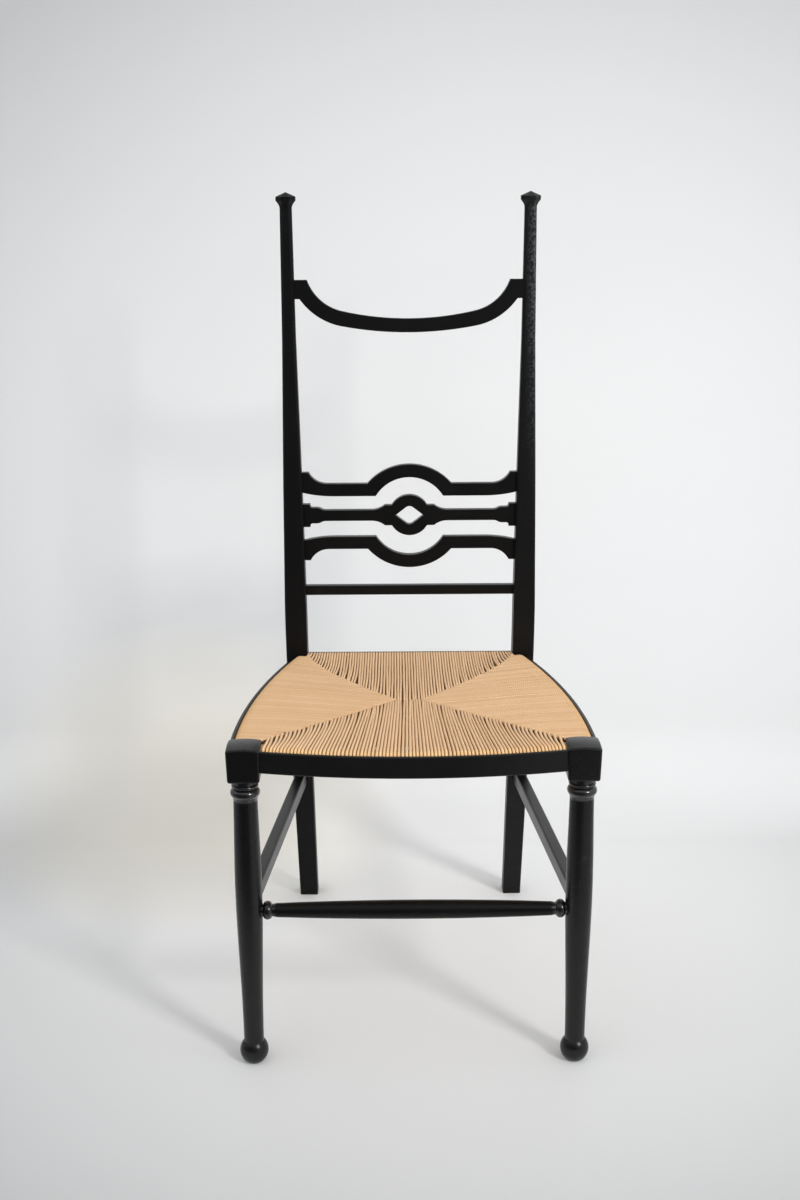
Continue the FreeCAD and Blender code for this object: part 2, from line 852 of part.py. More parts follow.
def side_stretcher(side, leg, post):
    front, back = side_stretcher_ends(side)
    bar = bar_between(
        front, back, side_stretcher_width, side_stretcher_height, side_stretcher_edge_radius
    )
    bar = bar.cut(leg).cut(post)
    for tenon in side_stretcher_tenons(side, 0):
        bar = bar.fuse(tenon)
    return bar.removeSplitter()


# Seat frame and edging strips, drawn level


class Bow:
    """An arc in plan from start to end that stands out from its chord by a rise."""

    def __init__(self, start, end, rise, outward):
        chord = end - start
        half = chord.Length / 2
        self.radius = (half**2 + rise**2) / (2 * rise)
        self.normal = Vector(chord.y, -chord.x, 0).normalize() * outward
        self.centre = (start + end) * 0.5 - self.normal * (self.radius - rise)
        self.half_turn = math.asin(half / self.radius)

    def bar(self, inset, width, low, high, extra):
        """A bar along the arc: its outer face lies inset inside the arc, its ends run on by extra."""
        outer = self.radius - inset
        inner = outer - width
        turn = self.half_turn + extra / self.radius
        facing = math.atan2(self.normal.y, self.normal.x)

        def at(radius, share):
            angle = facing + share * turn
            return self.centre + Vector(radius * math.cos(angle), radius * math.sin(angle), low)

        edges = [
            arc(at(outer, -1), at(outer, 0), at(outer, 1)),
            segment(at(outer, 1), at(inner, 1)),
            arc(at(inner, 1), at(inner, 0), at(inner, -1)),
            segment(at(inner, -1), at(outer, -1)),
        ]
        return Part.Face(Part.Wire(edges)).extrude(Vector(0, 0, high - low))

    def x_at(self, y, inset):
        """Where the arc, moved in by inset, meets a line of constant depth."""
        radius = self.radius - inset
        away = math.sqrt(radius**2 - (y - self.centre.y) ** 2)
        return self.centre.x + math.copysign(away, self.normal.x)

    def point(self, share, inset):
        """A point on the arc and the outward direction there. Shares run from -1 to 1."""
        turn = math.atan2(self.normal.y, self.normal.x) + share * self.half_turn
        out = Vector(math.cos(turn), math.sin(turn), 0)
        return self.centre + out * (self.radius - inset), out


block_inner_x = front_leg_half_spacing - block_width / 2
block_back_y = block_width / 2
post_seat_half, post_seat_depth = post_axis(seat_top)
post_front_y = post_seat_depth - post_width(seat_top) / 2
post_back_y = post_seat_depth + post_width(seat_top) / 2
post_outer_x = post_seat_half + post_width(seat_top) / 2
front_strip_y = -block_width / 2 + front_strip_set_back
back_strip_y = post_back_y - back_strip_set_in
rail_inset = strip_thickness + cord_wrap
rail_top = seat_top - cord_wrap
rail_bottom = rail_top - seat_rail_height
strip_top = seat_top - strip_below_top

front_bow_line = Bow(
    Vector(-block_inner_x, front_strip_y, 0), Vector(block_inner_x, front_strip_y, 0), front_bow, 1
)
side_bow_lines = {}
for name, side in sides.items():
    side_bow_lines[name] = Bow(
        Vector(side * (front_leg_half_spacing + block_width / 2 - side_strip_front_set_in), block_back_y, 0),
        Vector(side * (post_outer_x - side_strip_back_set_in), post_front_y, 0),
        side_bow,
        side,
    )


def tilted(shape):
    """Tips the level seat back about a line through the tops of the front blocks."""
    placed = shape.copy()
    placed.rotate(Vector(0, 0, seat_top), Vector(1, 0, 0), -seat_tilt_degrees)
    return placed


def long_edges(bar):
    """The edges that run along a bar, not those of its ends."""
    reach = max(edge.Length for edge in bar.Edges)
    return [edge for edge in bar.Edges if edge.Length > reach / 2]


def banded(inset, width, low, high, extra):
    """Four square bars round the seat: the bowed front and sides, and the straight back."""
    outer = back_strip_y - inset
    half = post_inner_face(seat_top) + extra
    bars = {"back": box_between(-half, half, outer - width, outer, low, high)}
    bars["front"] = front_bow_line.bar(inset, width, low, high, extra)
    for name, bow in side_bow_lines.items():
        bars[name] = bow.bar(inset, width, low, high, extra)
    return bars


def seat_tenons(grown):
    """Tenons of the seat rails, by rail and level: front and back ones lie above the side ones."""
    middle = (rail_top + rail_bottom) / 2
    upper_low = middle + seat_tenon_from_middle - grown
    upper_high = upper_low + seat_tenon_height + 2 * grown
    lower_high = middle - seat_tenon_from_middle + grown
    lower_low = lower_high - seat_tenon_height - 2 * grown
    half = seat_tenon_thickness / 2 + grown
    deep = seat_tenon_length + grown
    inside = seat_tenon_length
    rail_middle = rail_inset + seat_rail_width / 2
    post_inner_x = post_inner_face(seat_top)
    tenons = {"front": [], "back": []}
    for name, face_x, y in (
        ("front", block_inner_x, front_strip_y + rail_middle),
        ("back", post_inner_x, back_strip_y - rail_middle),
    ):
        for side in (left, right):
            inner_x = side * (face_x - inside)
            outer_x = side * (face_x + deep)
            tenons[name].append(
                box_between(inner_x, outer_x, y - half, y + half, upper_low, upper_high)
            )
    back_x = post_inner_x + seat_tenon_thickness / 2 + seat_tenon_inside_post
    for name, bow in side_bow_lines.items():
        front_x = bow.x_at(block_back_y, rail_middle)
        tenons[name] = []
        for x, near_y, far_y in (
            (front_x, block_back_y - deep, block_back_y + inside),
            (sides[name] * back_x, post_front_y - inside, post_front_y + deep),
        ):
            tenons[name].append(box_between(x - half, x + half, near_y, far_y, lower_low, lower_high))
    return tenons


def rail_bars(grown, extra):
    """The four seat rails with eased edges before they are scribed, still level."""
    bars = banded(
        rail_inset - grown,
        seat_rail_width + 2 * grown,
        rail_bottom - grown,
        rail_top + grown,
        extra,
    )
    for name, bar in bars.items():
        bars[name] = bar.makeChamfer(seat_rail_edge_chamfer, long_edges(bar))
    return bars


def seat_rails(carriers):
    """The four rails that the cords wrap; the side rails stop short of the back rail."""
    back_bar = tilted(rail_bars(joint_clearance, 0)["back"])
    tenons = seat_tenons(0)
    rails = {}
    for name, bar in rail_bars(0, seat_rail_width / 2).items():
        body = tilted(bar)
        for carrier in carriers:
            body = body.cut(carrier)
        if name in sides:
            body = body.cut(back_bar)
        body = max(body.Solids, key=lambda solid: solid.Volume)
        for tenon in tenons[name]:
            body = body.fuse(tilted(tenon))
        rails[name] = body.removeSplitter()
    return rails


def edge_strips(carriers):
    """Thin bars over the wrapped cords, square to the blocks and posts at their ends."""
    low = strip_top - strip_height
    strips = {}
    for name, bar in banded(0, strip_thickness, low, strip_top, strip_thickness).items():
        body = tilted(bar.makeChamfer(strip_edge_chamfer, long_edges(bar)))
        for carrier in carriers:
            body = body.cut(carrier)
        strips[name] = max(body.Solids, key=lambda solid: solid.Volume)
    return strips


def brads():
    """Places and directions of the brads, level, named by strip."""
    middle = strip_top - strip_height / 2
    places = {}
    lines = {"front": front_bow_line, **side_bow_lines}
    for name, bow in lines.items():
        length = 2 * bow.half_turn * bow.radius
        span = 1 - 2 * brad_end_margin / length
        places[name] = []
        for i in range(brads_per_strip):
            share = mix(-span, span, i / (brads_per_strip - 1))
            point, out = bow.point(share, 0)
            places[name].append((point + Vector(0, 0, middle), out))
    reach = post_inner_face(seat_top) - brad_end_margin
    places["back"] = []
    for i in range(brads_per_strip):
        x = mix(-reach, reach, i / (brads_per_strip - 1))
        places["back"].append((Vector(x, back_strip_y, middle), forward))
    return places


def brad(place, out, grown):
    """A shank and a flat head, flush with the strip's face."""
    length = strip_thickness + cord_wrap + brad_grip + grown
    shank = Part.makeCylinder(brad_radius + grown, length, place - out * length, out)
    thickness = brad_head_thickness + grown
    head = Part.makeCylinder(brad_head_radius + grown, thickness, place - out * thickness, out)
    return tilted(shank.fuse(head).removeSplitter())


# Woven seat


def plan_outline(inset, height):
    """The seat's plan on a line inset from the strips: front, right, back and left edge."""
    front_y = front_strip_y + inset
    back_y = back_strip_y - inset
    bow = side_bow_lines["right"]
    front_x = bow.x_at(front_y, inset)
    back_x = bow.x_at(back_y, inset)
    middle_y = (front_y + back_y) / 2
    middle_x = bow.x_at(middle_y, inset)
    front = Vector(0, front_y - front_bow, height)
    front_left, front_right = Vector(-front_x, front_y, height), Vector(front_x, front_y, height)
    back_left, back_right = Vector(-back_x, back_y, height), Vector(back_x, back_y, height)
    return Part.Wire(
        [
            arc(front_left, front, front_right),
            arc(front_right, Vector(middle_x, middle_y, height), back_right),
            segment(back_right, back_left),
            arc(back_left, Vector(-middle_x, middle_y, height), front_left),
        ]
    )


def slab(inset, low, high):
    return Part.Face(plan_outline(inset, low)).extrude(Vector(0, 0, high - low))


def hollow(inset, rim_height, seam_height):
    """Four slopes from the middles of the rails to a short seam, as the solid that they enclose."""
    seam_y = mix(front_strip_y, back_strip_y, seam_depth_share)
    corners = [
        Vector(-seam_half_length, seam_y - seam_half_width, seam_height),
        Vector(seam_half_length, seam_y - seam_half_width, seam_height),
        Vector(seam_half_length, seam_y + seam_half_width, seam_height),
        Vector(-seam_half_length, seam_y + seam_half_width, seam_height),
    ]
    seam = Part.makePolygon(corners + corners[:1])
    return Part.makeLoft([plan_outline(inset, rim_height), seam], True, True)


def stuffing(grown):
    """The flat filling between the upper and lower layers of cord."""
    weave_bottom = rail_bottom - cord_wrap
    centre = (seat_top - top_hollow + weave_bottom + underside_hollow) / 2
    low = centre - stuffing_thickness / 2 - grown
    high = centre + stuffing_thickness / 2 + grown
    return tilted(slab(rail_inset + seat_rail_width + stuffing_margin - grown, low, high))


def woven_seat():
    """Rolls of cord round the four rails and two layers between them, as one body."""
    weave_bottom = rail_bottom - cord_wrap
    inset = strip_thickness + weave_clearance
    width = seat_rail_width + 2 * cord_wrap - weave_clearance
    rolls = banded(inset, width, weave_bottom, seat_top, seat_rail_width / 2)
    middle = rail_inset + seat_rail_width / 2
    body = slab(middle, weave_bottom, seat_top)
    for roll in rolls.values():
        body = body.fuse(roll.makeFillet(weave_roll_radius, long_edges(roll)))
    body = body.cut(hollow(middle, seat_top, seat_top - top_hollow))
    body = body.cut(hollow(middle, weave_bottom, weave_bottom + underside_hollow))
    for rail in rail_bars(weave_clearance, seat_rail_width).values():
        body = body.cut(rail)
    for pair in seat_tenons(weave_clearance).values():
        for tenon in pair:
            body = body.cut(tenon)
    return tilted(body)


# Put together


def build():
    posts = {name: bare_post(side) for name, side in sides.items()}
    legs = {name: front_leg(side) for name, side in sides.items()}
    blocks = {name: block(side, 0) for name, side in sides.items()}
    carriers = [*posts.values(), *blocks.values()]

    nodes, mortises = back_rails(posts)

    stretcher_tenons = {}
    for name, side in sides.items():
        nodes[f"{name}_side_stretcher"] = side_stretcher(side, legs[name], posts[name])
        stretcher_tenons[name] = side_stretcher_tenons(side, joint_clearance)
    nodes["front_stretcher"] = front_stretcher()

    rails = seat_rails(carriers)
    strips = edge_strips(carriers)
    seat = woven_seat()
    grown_carriers = []
    for side in (left, right):
        grown_carriers += [post_shaft(side, weave_clearance), block(side, weave_clearance)]
    for carrier in grown_carriers:
        seat = seat.cut(carrier)
    seat = seat.cut(stuffing(weave_clearance))
    seat = max(seat.Solids, key=lambda solid: solid.Volume)

    group = []
    for name, places in brads().items():
        for place, out in places:
            hole = brad(place, out, brad_clearance)
            rails[name] = rails[name].cut(hole)
            strips[name] = strips[name].cut(hole)
            seat = seat.cut(hole)
            group.append(brad(place, out, 0))
    for name in rails:
        nodes[f"{name}_seat_rail"] = rails[name]
        nodes[f"{name}_edge_strip"] = strips[name]
    nodes["woven_seat"] = seat
    nodes["seat_stuffing"] = stuffing(0)
    nodes["edge_strip_brads"] = Part.makeCompound(group)

    sockets = [tilted(tenon) for pair in seat_tenons(joint_clearance).values() for tenon in pair]
    for name in sides:
        post = posts[name]
        for cutter in [*mortises, *sockets, stretcher_tenons[name][1]]:
            post = post.cut(cutter)
        nodes[f"{name}_back_post"] = post
        leg = legs[name]
        for cutter in [*sockets, stretcher_tenons[name][0], front_stretcher_holes()]:
            leg = leg.cut(cutter)
        nodes[f"{name}_front_leg"] = leg
    return nodes


def middle_depth():
    """Depth of the middle of the whole chair, from the foot of the front strip to the back feet."""
    low = strip_height - strip_edge_chamfer + strip_below_top
    front = front_strip_y - front_bow - low * math.sin(math.radians(seat_tilt_degrees))
    back = post_foot_depth + post_foot_width / 2
    return (front + back) / 2


os.makedirs("parts", exist_ok=True)
for node_name, shape in build().items():
    shape.translate(Vector(0, -middle_depth(), 0))
    shape.exportStep(f"parts/{node_name}.step")
    print(node_name, len(shape.Solids), round(shape.Volume), shape.isValid())
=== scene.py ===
import math

import bpy
import numpy as np
from mathutils import Matrix


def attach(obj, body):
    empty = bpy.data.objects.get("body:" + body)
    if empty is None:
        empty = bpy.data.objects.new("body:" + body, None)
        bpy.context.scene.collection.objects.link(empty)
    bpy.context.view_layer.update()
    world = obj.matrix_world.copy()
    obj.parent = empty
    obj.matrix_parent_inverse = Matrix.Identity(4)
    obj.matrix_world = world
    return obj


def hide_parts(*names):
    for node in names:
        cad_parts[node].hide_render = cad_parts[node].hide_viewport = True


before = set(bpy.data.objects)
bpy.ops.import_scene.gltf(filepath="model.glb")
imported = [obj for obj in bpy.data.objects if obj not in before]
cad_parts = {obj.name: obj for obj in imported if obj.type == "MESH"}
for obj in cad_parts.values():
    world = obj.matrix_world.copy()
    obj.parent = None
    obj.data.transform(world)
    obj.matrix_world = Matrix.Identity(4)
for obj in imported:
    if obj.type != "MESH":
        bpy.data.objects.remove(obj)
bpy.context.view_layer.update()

np.random.seed(11)


# Back posts. Two tall sawn posts, square at the floor and nearly eight-sided at the neck, with a
# flared cap. Black paint was brushed up them along the grain. The film shows faint ridges, pores
# and rubbed spots. On the right post a grey sheen is painted along the outer edge, pitted.

def put(tree, value, socket):
    """Links a socket to another one, or sets a plain number or colour on it."""
    if isinstance(value, bpy.types.NodeSocket):
        tree.links.new(value, socket)
    elif socket.type == "RGBA":
        socket.default_value = (*value, 1)
    else:
        socket.default_value = value


def worked_out(tree, operation, *values, clamp=False):
    """A value worked out from one, two or three others."""
    node = tree.nodes.new("ShaderNodeMath")
    node.operation = operation
    node.use_clamp = clamp
    for value, socket in zip(values, node.inputs):
        put(tree, value, socket)
    return node.outputs[0]


def summed(tree, *terms):
    """The sum of value times share, over pairs of a value and its share."""
    total = 0.0
    for value, share in terms:
        total = worked_out(tree, "MULTIPLY_ADD", value, share, total)
    return total


def noise(tree, place, scale, detail=2.0):
    """A cloudy pattern from 0 to 1."""
    node = tree.nodes.new("ShaderNodeTexNoise")
    for name, value in (("Vector", place), ("Scale", scale), ("Detail", detail)):
        put(tree, value, node.inputs[name])
    return node.outputs["Fac"]


def mapped(tree, value, low, high, start=0.0, stop=1.0, smooth=False):
    """Low where the value is start, high where it is stop, and held at both beyond them."""
    node = tree.nodes.new("ShaderNodeMapRange")
    node.interpolation_type = "SMOOTHSTEP" if smooth else "LINEAR"
    for name, amount in (("Value", value), ("From Min", start), ("From Max", stop),
                         ("To Min", low), ("To Max", high)):
        put(tree, amount, node.inputs[name])
    return node.outputs["Result"]


def mixed_colour(tree, share, first, second, blend="MIX"):
    """A colour between two, or the first darkened by the second, by a share from 0 to 1."""
    node = tree.nodes.new("ShaderNodeMix")
    node.data_type = "RGBA"
    node.blend_type = blend
    for name, value in (("Factor", share), ("A", first), ("B", second)):
        put(tree, value, node.inputs[name])
    return node.outputs["Result"]


def split(tree, place):
    """The X, Y and Z of a place."""
    node = tree.nodes.new("ShaderNodeSeparateXYZ")
    tree.links.new(place, node.inputs["Vector"])
    return node.outputs


def paint_film_group(name):
    """Brushed paint. The grain is noise drawn out along the piece, the orange peel is round noise,
    and the rubbed mask is where a coarse and a fine noise are both high."""
    group = bpy.data.node_groups.new(name, "ShaderNodeTree")
    for socket_name, kind, value in (
        ("Place", "NodeSocketVector", (0.0, 0.0, 0.0)),
        ("Stretch", "NodeSocketVector", (1.0, 1.0, 1.0)),
        ("Grain", "NodeSocketFloat", 900.0),
        ("Peel", "NodeSocketFloat", 260.0),
        ("Rubbing", "NodeSocketFloat", 0.62),
    ):
        socket = group.interface.new_socket(socket_name, in_out="INPUT", socket_type=kind)
        socket.default_value = value
    for socket_name in ("Tone", "Relief", "Rubbed"):
        group.interface.new_socket(socket_name, in_out="OUTPUT", socket_type="NodeSocketFloat")
    start = group.nodes.new("NodeGroupInput").outputs
    end = group.nodes.new("NodeGroupOutput").inputs

    drawn_out = group.nodes.new("ShaderNodeVectorMath")
    drawn_out.operation = "MULTIPLY"
    group.links.new(start["Place"], drawn_out.inputs[0])
    group.links.new(start["Stretch"], drawn_out.inputs[1])
    grain = noise(group, drawn_out.outputs[0], start["Grain"], detail=3.0)
    peel = noise(group, start["Place"], start["Peel"])
    cloud = noise(group, start["Place"], scale=14.0, detail=3.0)
    specks = noise(group, start["Place"], scale=120.0, detail=4.0)
    both_high = worked_out(group, "POWER", worked_out(group, "MULTIPLY", cloud, specks), 0.5)
    past = worked_out(group, "SUBTRACT", both_high, start["Rubbing"])
    group.links.new(summed(group, (grain, 0.35), (cloud, 0.65)), end["Tone"])
    group.links.new(summed(group, (grain, 0.55), (peel, 0.45)), end["Relief"])
    group.links.new(worked_out(group, "MULTIPLY", past, 9.0, clamp=True), end["Rubbed"])
    return group


paint_film = paint_film_group("paint film")


def opened(material):
    """A material's node tree, its shader's inputs and its Object coordinates."""
    tree = material.node_tree
    place = tree.nodes["Texture Coordinate"].outputs["Object"]
    return tree, tree.nodes["Principled BSDF"].inputs, place


def new_material(name):
    """A new material, with what opened gives."""
    material = bpy.data.materials.new(name)
    material.use_nodes = True
    material.node_tree.nodes.new("ShaderNodeTexCoord")
    return material, *opened(material)


def film_on(tree, place, stretch, grain=900.0):
    """The outputs of the paint film, laid on with its grain drawn out by stretch."""
    film = tree.nodes.new("ShaderNodeGroup")
    film.node_tree = paint_film
    for name, value in (("Place", place), ("Stretch", stretch), ("Grain", grain)):
        put(tree, value, film.inputs[name])
    return film.outputs


def raised(tree, shader, height, depth):
    """Relief of this depth in metres, laid over any that the shader has."""
    under = [link.from_socket for link in shader["Normal"].links]
    bump = tree.nodes.new("ShaderNodeBump")
    put(tree, height, bump.inputs["Height"])
    put(tree, depth, bump.inputs["Distance"])
    for normal in under:
        put(tree, normal, bump.inputs["Normal"])
    put(tree, bump.outputs["Normal"], shader["Normal"])


thick_film = np.array([0.0016, 0.0016, 0.0017])
thin_film = np.array([0.0032, 0.0031, 0.0031])
rubbed_film = (0.012, 0.011, 0.010)


def black_paint(name, stretch, dullness, relief, shine=0.30, body=1.0):
    """Black paint on wood: near black, faintly browner and duller where the film is thin."""
    material, tree, shader, place = new_material(name)
    film = film_on(tree, place, stretch)
    dark = mixed_colour(tree, film["Tone"], body * thick_film, body * thin_film)
    put(tree, mixed_colour(tree, film["Rubbed"], dark, rubbed_film), shader["Base Color"])
    put(tree, mapped(tree, film["Tone"], dullness - 0.06, dullness + 0.10), shader["Roughness"])
    shader["Specular IOR Level"].default_value = shine
    raised(tree, shader, film["Relief"], relief)
    return material


def painted_grey_sheen(material, across, up, tint):
    """A painted grey sheen, pitted. Its share is the product of one that grows with x, one that
    grows with z, one that drops on the cap and a noise for the pits."""
    tree, shader, place = opened(material)
    at = split(tree, place)
    pits = noise(tree, place, scale=290.0)
    cap_heights, pit_levels = (1.088, 1.078), (0.40, 0.66)
    amount = 1.0
    for value, (start, stop), (low, high) in (
        (at["X"], across, (0.0, 1.0)),
        (at["Z"], up, (0.0, 1.0)),
        (at["Z"], cap_heights, (0.25, 1.0)),
        (pits, pit_levels, (0.08, 1.0)),
    ):
        share = mapped(tree, value, low, high, start, stop, smooth=True)
        amount = worked_out(tree, "MULTIPLY", amount, share)
    black = shader["Base Color"].links[0].from_socket
    put(tree, mixed_colour(tree, amount, black, tint), shader["Base Color"])
    raised(tree, shader, pits, depth=0.0004)
    return material


def dress(node_names, material):
    """Gives a material to every slot of these CAD nodes."""
    for node_name in node_names:
        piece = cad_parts[node_name]
        if not piece.material_slots:
            piece.data.materials.append(material)
        for slot in piece.material_slots:
            slot.material = material


up_the_post = (1, 1, 0.06)

dress(["left_back_post"], black_paint(
    "black paint brushed up the left post", up_the_post, dullness=0.40, relief=0.00012,
    shine=0.13, body=1.7))
right_post_paint = black_paint(
    "black paint with a painted grey sheen on the right post", up_the_post, dullness=0.40, relief=0.00016,
    shine=0.20, body=1.8)
# The grey along the right post's upper outer edge is a painted sheen.
dress(["right_back_post"], painted_grey_sheen(
    right_post_paint, across=(0.163, 0.188), up=(0.64, 1.02), tint=(0.098, 0.106, 0.117)))


# Rails of the back. Thin boards cut to outline and brushed along their length: the hollow crest,
# the two arched rails and the rail with the pierced ring between them, and the plain rail below.

rail_paint = black_paint(
    "black paint brushed along the rails", (0.08, 1, 1), dullness=0.36, relief=0.00010)
dress(["crest_rail", "upper_lattice_rail", "middle_lattice_rail", "lower_lattice_rail",
       "lower_back_rail"], rail_paint)


# Front legs. Turned from one length with a square block left at the top. The paint was laid on
# round the turning, thicker and glossier than on the boards, and it pooled shiny on the rings.

def polished(material, axis, middle, half):
    """A second, smooth coat on the band where |axis| is within half of middle."""
    tree, shader, place = opened(material)
    away = worked_out(tree, "ABSOLUTE", split(tree, place)[axis])
    away = worked_out(tree, "ABSOLUTE", worked_out(tree, "SUBTRACT", away, middle))
    band_fade = 0.002
    put(tree, mapped(tree, away, 0.0, 1.0, half + band_fade, half), shader["Coat Weight"])
    shader["Coat Roughness"].default_value = 0.12
    return material


leg_paint = black_paint(
    "black paint brushed round the legs", (1, 1, 1.6), dullness=0.26, relief=0.00008,
    shine=0.36, body=1.4)
dress(["left_front_leg", "right_front_leg"], polished(leg_paint, "Z", middle=0.386, half=0.012))


# Stretchers. A turned one in front, shiny on the bead at each end, and a plain bar at each side.
# They are tenoned into the legs and posts and were painted with them.

stretcher_paint = black_paint(
    "black paint brushed round the stretcher", (1.6, 1, 1), dullness=0.34, relief=0.00008,
    shine=0.20)
dress(["front_stretcher"], polished(stretcher_paint, "X", middle=0.188, half=0.009))
dress(["left_side_stretcher", "right_side_stretcher"], black_paint(
    "black paint brushed along the side bars", (1, 0.08, 1), dullness=0.30, relief=0.00010,
    shine=0.40))


# Edging strips. Thin slats bent round the seat and nailed through the cords. The brads were set
# flush and painted over with them.

dress(["front_edge_strip", "back_edge_strip", "left_edge_strip", "right_edge_strip"], black_paint(
    "black paint on the edging strips", (0.2, 0.2, 1), dullness=0.33, relief=0.00009, body=1.8))
dress(["edge_strip_brads"], black_paint(
    "black paint on the brad heads", (1, 1, 1), dullness=0.38, relief=0.00006))


# Seat rails. Bare beech under the cords, sawn and left unpainted. They carry the winding and are
# tenoned into the blocks and posts, and only a glimpse of them could ever be seen.

def bare_wood(name, stretch):
    """Pale sawn wood: the film's tone and relief, drawn out along the rail, as its grain."""
    material, tree, shader, place = new_material(name)
    film = film_on(tree, place, stretch, grain=420.0)
    early, late = (0.40, 0.26, 0.14), (0.62, 0.45, 0.28)
    put(tree, mixed_colour(tree, film["Tone"], early, late), shader["Base Color"])
    shader["Roughness"].default_value = 0.7
    raised(tree, shader, film["Relief"], depth=0.0002)
    return material


dress(["front_seat_rail", "back_seat_rail"], bare_wood("bare beech along the width", (0.05, 1, 1)))
dress(["left_seat_rail", "right_seat_rail"], bare_wood("bare beech along the depth", (1, 0.05, 1)))


# Woven seat. Paper cord wound round four rails in the rush pattern: each strand comes up by a
# diagonal, crosses to its rail, goes over it and down behind the strip, and runs back underneath.
# The side fields are packed tight, and the front and back ones open into thin dark gaps.

# Places are in metres with the depth counted from the line of the front legs' middles, before the
# seat is tilted. Insets are counted from the outer face of the strip: that of a cord's middle where
# it hangs behind the strip, and that of the rail's middle. The two lines are the heights of a
# cord's middle over and under the rails, from which it sinks and rises towards the seam.
middle_depth = 0.228054
seat_top, seat_tilt = 0.4455, math.radians(1.1)
cord_inset, rail_inset = 0.0069, 0.0198
upper_line, lower_line = 0.4436, 0.4183
seam_drop, underside_rise = 0.0055, 0.008

# The ends of the short seam, and the diagonals that run to them: each has its corner, the point
# that it is drawn towards, and its end.
seam_first, seam_second = (-0.022, 0.190), (0.012, 0.190)
front_left_run = ((-0.1908, 0.0197), (-0.106, 0.101), seam_first)
front_right_run = ((0.1908, 0.0197), (0.098, 0.104), seam_second)
back_left_run = ((-0.1525, 0.3785), (-0.136, 0.312), seam_first)
back_right_run = ((0.1525, 0.3785), (0.124, 0.306), seam_second)


def bent(share, start, pull, end):
    """Points on a curve from start to end drawn towards pull:
    (1 - t)^2 start + 2 t (1 - t) pull + t^2 end."""
    t = np.asarray(share)[..., None]
    start, pull, end = (np.asarray(point) for point in (start, pull, end))
    return (1 - t) ** 2 * start + 2 * t * (1 - t) * pull + t**2 * end


def seam_path(first, second):
    """The line where a field meets its neighbours, corner to corner: a diagonal, the short seam and
    the other diagonal. Also how far each point is towards the seam, from 0 at a corner to 1."""
    share = np.linspace(0, 1, 60)
    points = np.concatenate([bent(share, *first), bent(share, *second)[::-1]])
    return points, np.concatenate([share, share[::-1]])


def meeting(foot, inward, path, aside):
    """Where a strand that leaves its foot inward meets the seam path, moved aside by a little.
    The sideways distance of each path point from the strand changes sign there."""
    points, towards = path
    sideways = np.stack([inward[:, 1], -inward[:, 0]], 1)
    distance = ((points[None] - foot[:, None]) * sideways[:, None]).sum(2)
    distance = distance * np.sign(distance[:, -1:] - distance[:, :1]) - aside[:, None]
    just_past = 1e-6
    distance[:, -1] = np.maximum(distance[:, -1], just_past)
    k = np.clip((distance > 0).argmax(1), 1, len(points) - 1)
    rows = np.arange(len(foot))
    before, after = distance[rows, k - 1], distance[rows, k]
    part = np.clip(before / np.where(before == after, 1, before - after), 0, 1)
    place = points[k - 1] + (points[k] - points[k - 1]) * part[:, None]
    return place, towards[k - 1] + (towards[k] - towards[k - 1]) * part


def uneven(count, spread, gaps):
    """Shares from 0 to 1 for strands laid side by side, with small errors and a few wider gaps."""
    steps = 1 + spread * np.random.randn(count)
    for place, width in gaps:
        steps[int(place * count)] += width
    edges = np.concatenate([[0], np.cumsum(steps)])
    return (edges[:-1] + edges[1:]) / 2 / edges[-1]


